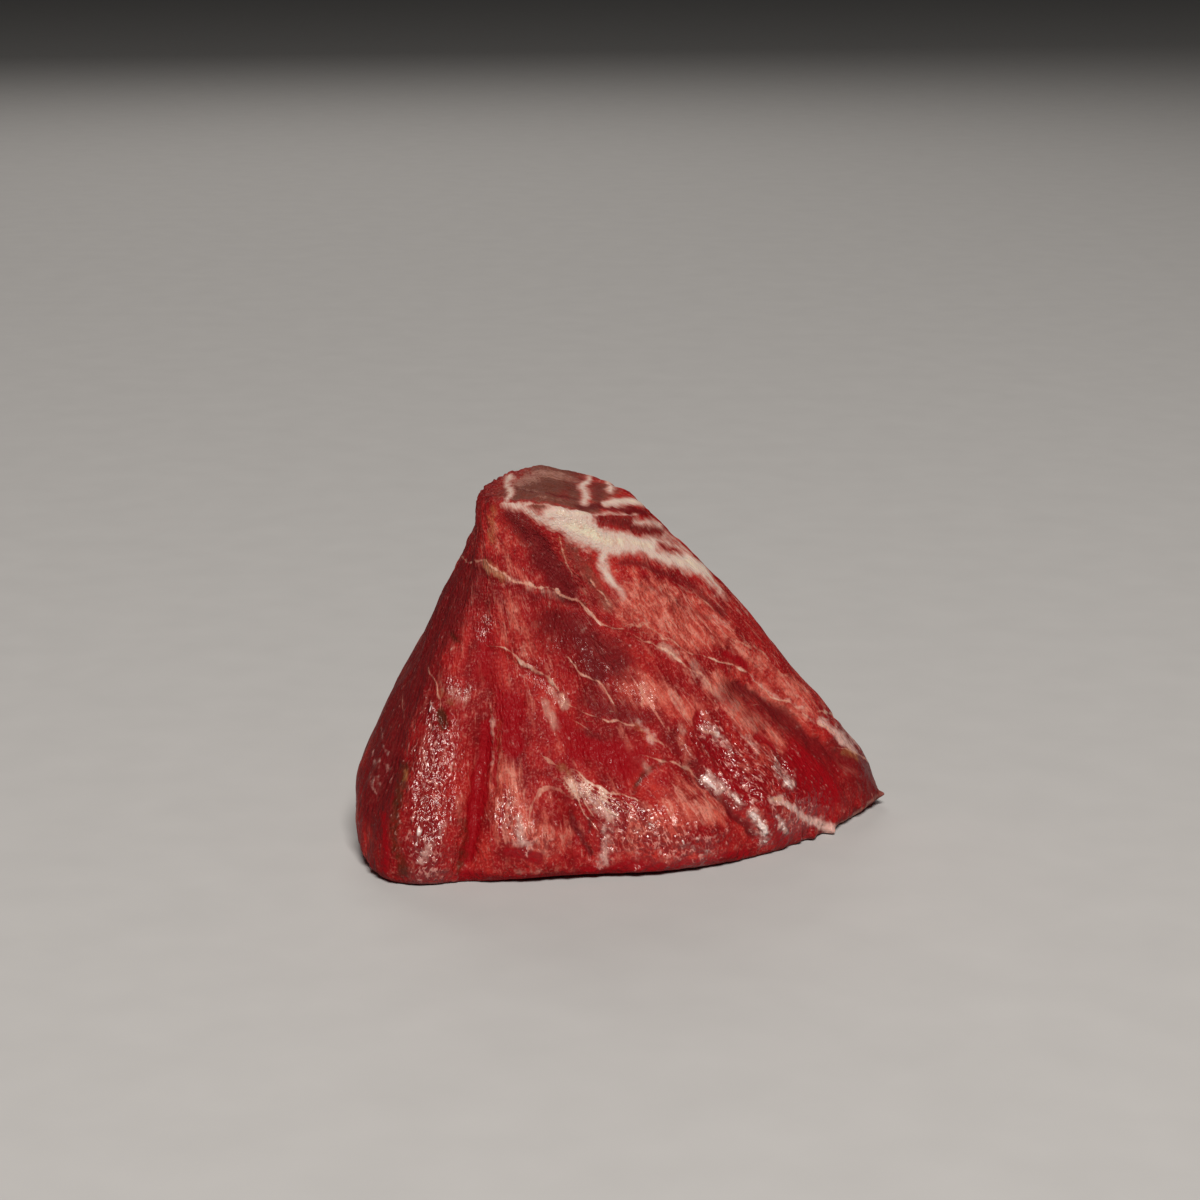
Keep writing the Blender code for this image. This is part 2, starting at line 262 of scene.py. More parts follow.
# %% Septa
SEAMS = {
    "upper septum, left": ("front", 0.7, (0.2, 0.45), (-41, 66), (-36.5, 67.6), (-32.5, 68.8), (-28.2, 66.4), (-24.7, 63.9), (-21, 62.4)),
    "upper septum, wide": ("front", 0.85, (0.4, 0.6), (-28.2, 66.4), (-24.7, 63.9), (-21, 62.4), (-18, 62.2), (-14, 60.4)),
    "upper septum": ("front", 0.75, (0.5, 0.25), (-18, 62.2), (-14, 60.4), (-10.1, 58.5), (-5.9, 54.6), (0.5, 52.3)),
    "upper septum, right": ("front", 0.85, (0.25, 0.45), (0.5, 52.3), (4.5, 49.6), (8.5, 46.8), (11.4, 44.4), (14.5, 41.9)),
    "branch along": ("front", 0.8, (0.35, 0.3), (10.2, 49), (14, 46.6), (18.2, 44.5), (26, 39.9), (29.8, 37.6)),
    "branch down": ("front", 0.6, 0.3, (14.5, 42), (18, 40), (20.4, 37.4), (22, 33)),
    "branch up": ("front", 0.6, 0.3, (3.4, 53.6), (6.4, 51.6), (10, 48.4)),
    "middle septum": ("front", 0.8, (0.3, 0.55), (-31.4, 50), (-26.5, 49), (-22, 46.3), (-19, 43.6), (-15.8, 41.3)),
    "end of the middle septum": ("front", 0.8, (0.5, 0.3), (-15.8, 41.3), (-13.8, 38.8), (-14.6, 37)),
    "lower septum": ("front", 0.75, (0.25, 0.35), (-14, 38.6), (-9.6, 35.8), (-5.5, 34.4), (-1.5, 33.6), (2.5, 31.6)),
    "under the lower septum": ("front", 0.5, 0.25, (-12, 33.6), (-8, 31.4)),
    "short septum": ("front", 0.8, 0.3, (-13.7, 47), (-10.2, 43.8), (-5.5, 40.3), (-2.4, 37)),
    "steep tan line": ("front", 0.6, (0.35, 0.3), (-15, 73.6), (-13.8, 68.7), (-11.9, 63.6)),
    "second steep line": ("front", 0.6, 0.3, (-7.7, 63.6), (-5.6, 61), (-3.4, 57.6)),
    "third steep line": ("front", 0.4, 0.25, (-10.4, 66), (-8.4, 61), (-6.4, 57)),
    "lower fleck": ("front", 0.6, (0.6, 0.4), (0.8, 53.6), (3.4, 53)),
    "upright fleck": ("front", 0.55, 0.35, (2.2, 43), (3.3, 39.6), (3.7, 36)),
    "wide upright fleck": ("front", 0.4, (0.5, 0.3), (11.6, 38.6), (13.4, 35), (13.2, 29.6)),
    "slanted fleck": ("front", 0.5, 0.35, (9.4, 30.4), (12, 28), (15.2, 26.6)),
    "slanted fleck below": ("front", 0.5, 0.3, (5.6, 30.4), (8.8, 27.4)),
    "start of the fan": ("front", 0.7, (0.7, 0.7), (-18.7, 27), (-15.3, 24.8), (-13, 22.6)),
    "ring by the fan": ("front", 0.5, 0.5, (-21.8, 12.4), (-21.6, 17), (-19, 20), (-15.4, 20.4), (-12, 18)),
    "ring by the fan, inner": ("front", 0.3, 0.4, (-18.6, 11), (-18.4, 15), (-15.4, 16.6)),
    "crest of the lobe": ("front", 0.75, (0.45, 0.25), (4.4, 25.6), (8, 24.6), (11.2, 23.4), (14.2, 22.2), (17.6, 19.4)),
    "ledge, thin": ("front", 0.75, (0.25, 0.35), (29.8, 37.6), (33, 34.8), (36.5, 31), (42.8, 26.8)),
    "ledge": ("front", 0.9, (0.35, 0.5), (42.8, 26.8), (48.4, 22.6), (51.4, 20)),
    "thread on the ridge": ("front", 0.5, 0.25, (12, 60.6), (18, 56), (25, 49.6)),
    "second thread on the ridge": ("front", 0.5, 0.3, (27.5, 47), (33, 42), (40, 34)),
    "flecks on the ridge": ("front", 0.6, (0.6, 0.3), (27.6, 45.4), (30.6, 43)),
    "pale thread": ("front", 0.5, 0.3, (15.5, 33), (19, 29.6), (23.6, 26)),
    "upright thread": ("front", 0.35, 0.3, (-32.4, 43), (-31, 36), (-30.6, 30), (-31.2, 23)),
    "second upright thread": ("front", 0.3, 0.35, (-28.6, 31), (-27.7, 25), (-28.8, 18)),
    "third upright thread": ("front", 0.45, 0.3, (-26.6, 27), (-25.6, 20), (-25.8, 14)),
    "line on the nose": ("front", 0.6, 0.25, (-46, 44.5), (-43.8, 40.4), (-42.5, 37)),
    "line over the ring": ("front", 0.3, 0.2, (-52.6, 37), (-51.6, 33), (-51.2, 29)),
    "long line at the left": ("left", 0.7, (0.4, 0.5), (20, 66), (12, 50), (6, 34), (4, 16)),
    "branch at the left": ("left", 0.6, 0.35, (9, 42), (16, 32), (22, 18)),
    "upper septum at the back": ("back", 0.8, (0.5, 0.6), (-46, 44), (-32, 52), (-16, 50), (0, 44), (14, 40)),
    "lower septum at the back": ("back", 0.8, (0.4, 0.6), (-44, 20), (-26, 29), (-8, 26), (12, 20), (30, 12)),
    "branch at the back": ("back", 0.6, 0.35, (-16, 50), (-12, 38), (-8, 26)),
    "fan at the back": ("back", 0.7, (0.4, 1.2), (2, 43), (12, 33), (26, 27), (38, 18)),
    "line at the right": ("right", 0.75, (0.4, 0.6), (-8, 32), (4, 27), (16, 23), (28, 13)),
    "thread at the right": ("right", 0.6, 0.35, (0, 20), (10, 14), (20, 6)),
}
FAN_ROOT = ((-14.6, 22.6), (-12.4, 24.4))
FAN_MIDDLE = ((-10.4, 17.4), (-5.8, 20.8))
FAN_END = ((-6.6, 11.0), (3.4, 16.4))
STRANDS = 7
STRAND_HALF = (0.34, 0.22)
SEAM_MARGIN = 1.5


def between(ends, share):
    """A point on the way from one end to the other."""
    return tuple(np.add(ends[0], share * np.subtract(ends[1], ends[0])))


for number in range(STRANDS):
    share = number / (STRANDS - 1)
    route = [between(ends, share) for ends in (FAN_ROOT, FAN_MIDDLE, FAN_END)]
    backwards = number % 2 == 1
    SEAMS[f"strand {number}"] = ("front", 0.95, STRAND_HALF[::-1] if backwards else STRAND_HALF,
                                 *(route[::-1] if backwards else route))

seam_side = np.full(count, 9.0)
seam_width, seam_share = np.zeros(count), np.zeros(count)
for side, share, half_width, *route in SEAMS.values():
    chart, weight = charts[side]
    distance, left, along = beside(chart, route)
    ends = smooth_between(np.minimum(along, 1 - along), -0.10, 0.12)
    width = half_width_along(half_width, along) * ends * smooth_between(weight, 0.2, 0.7)
    wins = (distance - width < np.abs(seam_side) - seam_width) & (weight > 0.2)
    seam_side = np.where(wins, np.where(left > 0, distance, -distance), seam_side)
    seam_width = np.where(wins, width, seam_width)
    seam_share = np.where(wins, share, seam_share)
near_seam = np.abs(seam_side) < seam_width + SEAM_MARGIN
seam_width = np.where(near_seam, seam_width, -1.0)
seam_side = np.clip(seam_side, -4, 4)
print("septa run past", int(near_seam.sum()), "points")

# %% [markdown]
# ## Dark, deep and pale flesh, with painted shade and light
#
# Tuna is never one red. Flesh that has met the air goes maroon, a fresh tear stays a saturated
# crimson, and where light gets through a thin flake it is nearly salmon. Old blood and bruised spots
# are olive brown. Each of these is a set of broad strokes, and the finish will break up their edges.
# Most of the dark strokes are painted shade: on the sides turned from the soft box, in hollows,
# furrows and fissures, under septa and the ledge, and along the foot. The deep strokes in furrows
# and grooves are darker for painted shade as well. The salmon strokes are partly painted light, on
# the lower slopes, the swell, the column and the lobe, which face the soft box. The pale strokes are
# real tendon and tissue, and also painted highlights where the wet clusters glint.

# %% Broad strokes of colour, painted shade and painted light
# Dark strokes: mostly painted shade on the sides turned from the soft box, in hollows, furrows and fissures, under the
# septa and the ledge and along the foot; the rest is maroon flesh.
SHADE_AND_MAROON = {
    "band under the crown": ("front", 1.1, (3.0, 3.8), (-26, 79), (-20.2, 72), (-15.6, 65), (-12.6, 60.4)),
    "dusk in the middle": ("front", 0.85, 6.0, (-17, 55), (-9, 51), (-2, 45)),
    "darkest hollow": ("front", 1.0, 2.6, (-11.5, 53), (-9.4, 48.5), (-6.4, 42.5)),
    "below the short septum": ("front", 0.7, 3.0, (-8, 38), (-3, 36), (4, 33)),
    "crimson bay": ("front", 0.6, 3.6, (-9, 30), (-2, 28)),
    "stripe by the crown": ("crown", 1.0, 1.9, (-11, -3.6), (-5.9, -0.6), (0.3, 3.6), (6, 8), (10, 12)),
    "stripe over the cap": ("front", 0.7, 1.5, (-7.7, 77.2), (0.3, 75.2), (6.6, 72.6), (10.5, 70.8), (16, 67)),
    "below the long band": ("front", 0.7, 1.1, (-1, 67), (5, 65.4), (12, 61.6), (18, 57), (24, 51.6)),
    "under that": ("front", 0.5, 0.8, (4, 61.6), (12, 57), (20, 50.6)),
    "line before the crown": ("crown", 0.8, 0.9, (-25.4, 1), (-20, -2), (-15, -1), (-11, 0)),
    "right of the crown": ("crown", 0.6, 2.2, (-7, 3), (-6, 14)),
    "right of the facet": ("crown", 0.45, 4.5, (-13, 5), (-12, 14), (-14, 22)),
    "corner of the crown": ("front", 0.6, 1.4, (-8.4, 80.2), (-7, 80)),
    "below the ledge": ("front", 0.9, (0.6, 4.6), (27, 36.4), (32, 33), (40, 26.4), (47, 19.8), (52, 15)),
    "behind the lobe": ("front", 0.6, 1.5, (35, 22), (40, 15.5), (45, 9)),
    "edge of the lobe": ("front", 1.0, (1.1, 0.6), (17, 19.8), (19.9, 17.5), (25.7, 11), (28.8, 8.5), (30.6, 5)),
    "stripe past the nose": ("front", 0.9, 1.2, (-56.4, 19), (-55.2, 12), (-55, 3)),
    "left corner": ("front", 0.6, 2.2, (-58, 8), (-57, 2)),
    "in the ring": ("front", 0.9, 1.6, (-56.8, 26), (-56.6, 20)),
    "under the upper septum": ("front", 0.6, (0.3, 1.9), (-24, 62.4), (-15, 59.6), (-9, 56.6)),
    "fissure": ("front", 1.0, 0.8, (-12.3, 15.6), (-11.6, 11.5), (-10.3, 8), (-8.4, 5.8)),
    "short fissure": ("front", 0.8, 0.6, (-8.2, 14), (-8.8, 10.5)),
    "olive hollow": ("front", 0.6, 1.3, (1.4, 18.8), (4.6, 22.4)),
    "foot": ("front", 0.55, 2.0, (-52, 0), (-20, 0), (20, 0), (56, 0)),
    "dusk at the right": ("right", 0.8, 13.0, (-10, 24), (6, 14), (18, 8)),
    "dusk at the left": ("left", 0.85, 11.0, (-6, 48), (0, 26), (-8, 8)),
    "left edge": ("front", 1.1, 6.0, (-43, 60), (-50, 44), (-55, 30), (-58, 14)),
    "upper left": ("front", 0.85, 5.2, (-36, 66), (-43, 52)),
    "right edge": ("front", 0.85, 5.4, (53, 18), (59, 11), (63, 5)),
    "nose": ("front", 0.5, 6.0, (-44, 44), (-46, 28), (-46, 8)),
    "in the furrow": ("front", 0.75, 1.5, (-32.4, 30), (-33.4, 21), (-35, 13), (-36.4, 7)),
    "below the steep line": ("front", 0.5, 4.0, (-14, 56), (-6, 50), (-2, 46)),
    "band at the back": ("back", 0.8, 3.4, (-30, 66), (-14, 62), (2, 56)),
    "hollow at the back": ("back", 0.7, 5.5, (-10, 38), (2, 34)),
}
# Deep crimson strokes; those in furrows and grooves are also darker for painted shade.
DEEP = {
    "furrow beside the nose": ("front", 1.1, (2.2, 1.8), (-32, 34), (-32.6, 27), (-33.6, 20), (-34.8, 13.5), (-36.4, 6)),
    "fresh patch": ("front", 1.25, 2.5, (-26.4, 38.5), (-26.0, 34), (-25.6, 30)),
    "above the patch": ("front", 0.6, 3.0, (-33, 53), (-31.6, 43)),
    "line in the furrow": ("front", 0.8, 0.8, (-29.4, 41), (-29.8, 30), (-30.4, 22)),
    "tear on the ridge": ("front", 0.8, 1.2, (24.4, 43), (28.6, 39.4)),
    "groove of the ribs": ("front", 1.0, 1.4, (17.2, 32.4), (19.6, 27), (24, 21.6), (29.3, 16)),
    "second groove": ("front", 0.8, 1.0, (31.5, 25), (35.6, 21)),
    "red by the lobe": ("front", 0.9, 1.6, (22.4, 18.6), (28.5, 15)),
    "bay": ("front", 0.95, 3.4, (-10, 28), (-4, 27), (1, 25)),
    "left of the bay": ("front", 0.6, 2.4, (-14, 34), (-12, 28)),
    "past the lobe": ("front", 0.6, 3.0, (22, 24), (30, 17), (37, 9)),
    "lower right": ("front", 0.7, 6.0, (41, 17), (49, 10)),
    "between the clusters": ("front", 0.9, 1.0, (33.4, 11), (36.2, 6.5), (37.6, 2)),
    "bottom lip": ("front", 0.9, 1.6, (-38, 1.6), (-18, 1.6), (0, 2.4), (28, 2)),
    "spots over the lip": ("front", 1.3, 1.0, (-27, 7.8), (-23, 7.6), (-19.6, 6.6)),
    "past the nose": ("front", 0.6, 1.3, (-55.4, 14), (-55, 8), (-54.6, 2)),
    "on the column": ("front", 0.8, 0.6, (-28.4, 22), (-28, 16), (-28.6, 11)),
    "right foot": ("front", 0.5, 2.5, (34, 4), (44, 3)),
    "furrow at the left": ("left", 0.8, 1.5, (14, 60), (10, 40), (9, 20)),
    "furrow at the back": ("back", 0.8, 1.8, (16, 52), (18, 32), (22, 12)),
    "patch at the back": ("back", 0.7, 4.0, (-34, 38), (-28, 26)),
}
# Salmon strokes: partly the flesh's own lighter tone, partly painted light on the lower front, the swell, the column
# and the lobe, which face the soft box.
SALMON_AND_LIGHT = {
    "upper ribs": ("front", 1.0, 6.5, (3, 59), (10, 54), (17, 49)),
    "along the ridge": ("front", 0.7, 4.5, (16, 56), (26, 45), (36, 34), (44, 26)),
    "swell": ("front", 0.6, 4.2, (-27, 59), (-23, 50)),
    "left of the band": ("front", 0.45, 2.6, (-30, 76), (-27.6, 69), (-23, 64)),
    "front column": ("front", 1.0, 5.6, (-28, 24), (-25, 14), (-19, 11)),
    "nose": ("front", 0.3, 5.0, (-45, 30), (-46, 14)),
    "shelf": ("front", 0.75, 4.6, (1, 41), (9, 37), (15, 33)),
    "lower front": ("front", 0.75, 4.5, (2, 10), (12, 12)),
    "right ribs": ("front", 0.8, 4.0, (22, 38), (28, 30), (36, 21)),
    "over the lobe": ("front", 0.9, 4.2, (11, 16), (20, 13)),
    "beside the strip": ("front", 0.9, 2.6, (33, 10), (40, 8)),
    "left side": ("left", 0.5, 6.0, (-6, 40), (0, 22)),
    "back": ("back", 0.6, 7.0, (-36, 14), (-12, 14), (6, 10)),
    "upper back": ("back", 0.5, 5.0, (8, 50), (20, 38)),
    "right side": ("right", 0.35, 4.0, (-4, 34), (12, 28)),
}
OLIVE = {
    "pit in the nose": ("front", 1.3, 1.5, (-42.4, 35.8), (-42, 34.4)),
    "pit above it": ("front", 0.75, 1.3, (-41.0, 52.4), (-39.6, 51.6)),
    "stripe beside the nose": ("front", 0.8, 2.0, (-51, 24), (-52, 17), (-52.4, 9), (-50.6, 3)),
    "olive hollow": ("front", 0.7, 0.8, (1.8, 19.6), (4.4, 22.2)),
    "edge of the hollow": ("front", 0.6, 1.0, (4.4, 22), (9, 24.6)),
    "spot on the septum": ("front", 0.8, 0.8, (-9.6, 58.2), (-8.4, 57.4)),
    "beside the furrow": ("front", 0.7, 1.7, (-37.4, 14), (-37, 8), (-38, 3)),
    "stripe at the back": ("back", 0.6, 1.4, (-38, 56), (-34, 44)),
}
OCHRE = {
    "yellow patch": ("front", 0.85, 1.6, (-32.2, 68.2), (-28, 65.6)),
    "left of the crown": ("front", 0.7, 1.6, (-31.6, 80), (-30.8, 73.5)),
    "above the pit": ("front", 0.5, 2.0, (-43, 40.5), (-40, 38.5)),
    "beside the patch": ("front", 0.45, 1.1, (-30, 35), (-29.4, 28)),
    "spot by the nose": ("front", 1.0, 1.0, (-51, 23), (-50.8, 22)),
    "along the tan line": ("front", 0.6, 1.1, (-15, 73), (-13.4, 68)),
    "start of the strip": ("front", 0.9, 1.0, (34.8, 13.3), (37, 12.6)),
    "spot by the fan": ("front", 0.7, 1.4, (-15, 25), (-12.6, 22.8)),
    "over the hollow": ("front", 0.6, 1.5, (3, 31.6), (5, 30)),
    "end of the ledge": ("front", 0.8, 1.1, (54, 16), (57, 14)),
    "bay at the back": ("back", 0.7, 2.4, (-20, 58), (-12, 60)),
    "corner at the left": ("left", 0.6, 2.4, (10, 24), (8, 14)),
}
BROWN = {
    "crown": ("crown", 1.0, 9.0, (-22, 0), (-18, 8), (-16, 20)),
    "far left": ("left", 0.4, 13.0, (-14, 30), (-10, 12)),
    "strip before the crown": ("crown", 1.0, 3.2, (-26, -5), (-18, -5), (-8, -3)),
    "right of the facet": ("crown", 0.9, 2.4, (-12.4, 9), (-12.4, -2)),
    "right of the crown": ("crown", 0.8, 4.0, (-7, 2), (-4, 14)),
    "over the cap": ("front", 1.0, 2.0, (-25, 82), (-18, 80.8), (-6, 79.2)),
    "beside the cap": ("front", 0.6, 2.8, (-12.6, 72), (-8, 64), (-4, 58)),
    "stripe over the cap": ("front", 0.5, 1.6, (-4, 76), (4, 74), (10, 71)),
    "left slope": ("left", 0.4, 9.0, (6, 62), (0, 44)),
}
TAN = {
    "crown, upper left": ("crown", 0.85, (3.5, 5.0), (-25, 6), (-21, 12), (-14, 14)),
    "lens on the crown": ("crown", 0.9, 0.9, (-25, 1.4), (-22, 0.2), (-19.6, -2)),
    "front edge of the crown": ("crown", 0.5, 0.8, (-22, -6.4), (-14, -4), (-11, -2)),
    "along the upper septum": ("front", 0.75, (0.8, 1.4), (-33, 68.4), (-28.2, 66.2), (-21, 62.2), (-14, 60.2)),
    "foot of the steep line": ("front", 0.6, 0.8, (-12, 64), (-10, 59.6)),
    "pale patch": ("front", 0.9, (2.0, 1.6), (-18.6, 37), (-16.2, 33.4)),
    "pale knot": ("front", 1.0, 1.5, (-16.8, 40.4), (-13.8, 37.6)),
    "knot on the septum": ("front", 1.1, 1.5, (8.2, 47.6), (11.6, 45)),
    "patch on the shelf": ("front", 0.8, 1.9, (16.4, 42.4), (19.6, 38)),
    "wide upright fleck": ("front", 0.6, 1.8, (11.6, 38.6), (13.4, 34.4), (13.6, 30)),
    "patch by the ridge": ("front", 0.6, 2.2, (21, 36), (26, 32)),
    "spot over the hollow": ("front", 1.0, 1.1, (2.2, 25), (5.4, 22.8)),
    "round the fan": ("front", 0.8, 2.2, (-13, 22.4), (-8.4, 18.4), (-4, 13.6)),
    "above the lip": ("front", 0.5, 1.6, (-24, 3.4), (-12, 3.2)),
    "fold above the nose": ("front", 0.6, 2.2, (-41, 41.5), (-37, 39.5)),
    "in the ring": ("front", 0.5, 1.5, (-58.4, 22), (-58, 18)),
    "end of the ledge": ("front", 0.5, 1.5, (55, 16), (58, 13)),
    "right lower edge": ("front", 1.0, 1.0, (50, 0.8), (56, 1.2), (62, 2.6), (66, 4)),
    "under the nose": ("front", 0.4, 2.0, (-50, 4), (-42, 3)),
}
# Pale strokes: real tendon, fan and ring tissue, and painted highlights on the wet clusters of the lobe, ribs, column
# and nose.
PALE_TISSUE_AND_GLINTS = {
    "strip of tendon": ("front", 1.2, 0.75, (35, 13.2), (38, 11), (41.7, 7.8)),
    "end of the strip": ("front", 1.5, 1.25, (42.4, 7.2), (46, 4), (49.6, 0.8)),
    "start of the strip": ("front", 1.3, 1.1, (34.8, 13.2), (37, 12.6)),
    "ledge": ("front", 0.7, (0.9, 0.3), (31, 36.4), (38, 30.4), (46.4, 24)),
    "end of the ledge": ("front", 1.3, (1.7, 0.6), (47.4, 23.4), (52, 19.6), (56.6, 15)),
    "column": ("front", 0.9, 1.2, (-24.4, 15.6), (-23.4, 10.2)),
    "beside the column": ("front", 0.7, 0.8, (-27.2, 19), (-27, 13.4)),
    "across the column": ("front", 0.8, 1.0, (-25.4, 9.8), (-21.6, 10.2)),
    "top of the lobe": ("front", 1.0, 1.3, (19.4, 19.6), (22.4, 17)),
    "past the lobe": ("front", 0.8, 1.3, (24.4, 15.8), (27.6, 13.4)),
    "foot of the lobe": ("front", 0.85, 1.6, (29.8, 11.4), (32.8, 7.4), (33.4, 4)),
    "second foot of the lobe": ("front", 0.8, 0.9, (35.8, 8.8), (38.2, 4.8)),
    "above the strip": ("front", 0.8, 1.6, (36.4, 18.6), (39.6, 15)),
    "ribs": ("front", 0.6, 1.2, (19.6, 30), (24.6, 24.4)),
    "outer ribs": ("front", 0.6, 1.0, (27.4, 27), (31.6, 22)),
    "fan": ("front", 0.9, (1.6, 2.0), (-11.6, 21), (-7.6, 18.6), (-3.6, 14)),
    "fleck on the ridge": ("front", 0.5, 1.0, (21, 51.4), (24.4, 49)),
    "under the fan": ("front", 0.8, 2.0, (-5, 12), (-4.4, 5)),
    "web": ("front", 0.5, 2.0, (14, 7.6), (19, 5)),
    "nose": ("front", 0.7, 1.3, (-43.4, 11), (-46.6, 6.6)),
    "nose, right": ("front", 0.6, 0.7, (-40.4, 15.4), (-42, 11.4)),
    "ring, left": ("front", 0.5, 0.45, (-59.2, 24), (-58.8, 19), (-57.6, 15.6)),
    "ring, right": ("front", 0.4, 0.45, (-57.6, 28.2), (-55.4, 25.6), (-54.8, 20)),
    "line in the ring": ("front", 0.4, 0.35, (-57.4, 24.4), (-57.4, 18)),
    "smear under the septum": ("front", 0.6, 1.2, (3.4, 33), (6.6, 29)),
    "by the furrow": ("front", 0.5, 0.7, (-31, 36), (-31, 26)),
    "low at the back": ("back", 0.8, 2.2, (-20, 14), (2, 10)),
}
shade_and_maroon, deep, salmon_and_light, tan = lay(SHADE_AND_MAROON), lay(DEEP), lay(SALMON_AND_LIGHT), lay(TAN)
olive, ochre, brown, pale = lay(OLIVE), lay(OCHRE), lay(BROWN), lay(PALE_TISSUE_AND_GLINTS)
print("dark flesh covers", int((shade_and_maroon > 0.5).sum()), "points, deep", int((deep > 0.5).sum()))

# %% [markdown]
# ## Where it is wet
#
# Juice gathers on the lower slopes, in the tendon fan and on the nose, and leaves the upper front
# nearly dry. The wet parts are glossy and finely beaded, so they need their own mask.

# %% Wet flesh
# Besides the gloss, the wet mask sets where the finish paints pink and white highlights on the lace and the gleams,
# most where it passes 1.
WET = {
    "nose": ("front", 0.95, 5.8, (-44.5, 27), (-46, 16), (-45, 5)),
    "middle of the nose": ("front", 1.15, 3.4, (-46, 20), (-46.4, 12), (-45, 6)),
    "round the pit": ("front", 0.9, 3.0, (-41.6, 32.4), (-43, 29)),
    "low on the column": ("front", 0.7, 4.0, (-28, 18), (-24, 11), (-18, 10)),
    "spot on the column": ("front", 1.2, 1.3, (-24.6, 13.4), (-23, 8.8)),
    "fan": ("front", 1.15, 2.6, (-10, 19.6), (-6, 18), (-1.3, 14.8)),
    "under the fan": ("front", 1.1, 2.0, (-5, 12), (-4.6, 5)),
    "speckled front": ("front", 0.9, 5.4, (-4, 11), (6, 9), (18, 7)),
    "thick of the speckles": ("front", 1.3, 2.2, (12.4, 8), (19, 5.4)),
    "left of the speckles": ("front", 1.2, 1.8, (3, 14), (8, 10)),
    "top of the lobe": ("front", 1.5, 1.5, (19.4, 19.6), (22.6, 17)),
    "past the lobe": ("front", 1.35, 1.5, (25, 15.4), (28, 13)),
    "beside the strip": ("front", 1.45, 1.6, (30, 11), (32.6, 8), (33.4, 3.6)),
    "second by the strip": ("front", 1.3, 1.1, (35.6, 9.2), (38.4, 4.6)),
    "along the strip": ("front", 0.9, 1.6, (34.6, 13), (41.7, 7.6), (46, 3.2)),
    "patch above the strip": ("front", 1.35, 2.2, (35.6, 19.6), (40, 14.6)),
    "right ribs": ("front", 1.2, 1.6, (21.6, 28.4), (26.6, 22.4)),
    "beside the groove": ("front", 0.7, 1.6, (17.6, 26.2), (23.4, 19.6)),
    "right slope": ("front", 0.85, 6.5, (19, 27), (30, 18), (43, 8)),
    "left of the pit": ("front", 1.3, 1.5, (-45, 37), (-43.8, 31)),
    "beads in the hollow": ("front", 0.3, 3.0, (-14, 50), (-7, 46)),
    "under the middle septum": ("front", 0.35, 2.5, (-22, 46), (-14, 39)),
    "fold above the nose": ("front", 0.7, 1.6, (-41, 42.6), (-36.4, 40.6)),
    "second fold": ("front", 0.6, 1.6, (-33.4, 52), (-32, 56)),
    "flecks on the shelf": ("front", 0.35, 2.5, (-4, 43), (6, 38)),
    "cap of fat": ("front", 0.5, 3.0, (-14, 78), (-6, 73)),
    "low at the back": ("back", 0.8, 8.0, (-40, 12), (-10, 12), (20, 10)),
    "right side": ("right", 0.3, 10.0, (-6, 20), (10, 12)),
    "low at the left": ("left", 0.5, 7.0, (-14, 8), (6, 8)),
}
wet = lay(WET)
print("wet flesh covers", int((wet > 0.5).sum()), "points")

# %% [markdown]
# ## The run of the fibres
#
# The muscle fibres fan out from a place above the crown, steep at the nose and slanted at the right.
# Every point therefore gets a grain coordinate: two angles round that place, as millimetres across
# the fibres, and the distance from it, along them. Noise that is stretched on the grain gives fibres
# and bundles that follow the muscle, in the shape here and in the finish later.

# %% Grain coordinates
POLE = np.array([-35.0, 4.0, 95.0])
POLE_REACH = 70.0

from_pole = points - POLE
drop = -from_pole[:, 2]
grain = np.column_stack([
    np.arctan2(from_pole[:, 0], drop) * POLE_REACH,
    np.arctan2(from_pole[:, 1], drop) * POLE_REACH,
    np.linalg.norm(from_pole, axis=1),
])
print("grain runs over", [round(x) for x in np.ptp(grain, axis=0)], "mm")

# %% [markdown]
# ## Working the relief
#
# The big furrows and swells are in the solid already. What is added here is fine: bundles of fibres
# half a millimetre deep, single fibres a tenth deep, beads where the flesh is wet, a slight swell of
# the fat, and grooves beside the septa. All of it fades out near the foot, which has to stay flat.

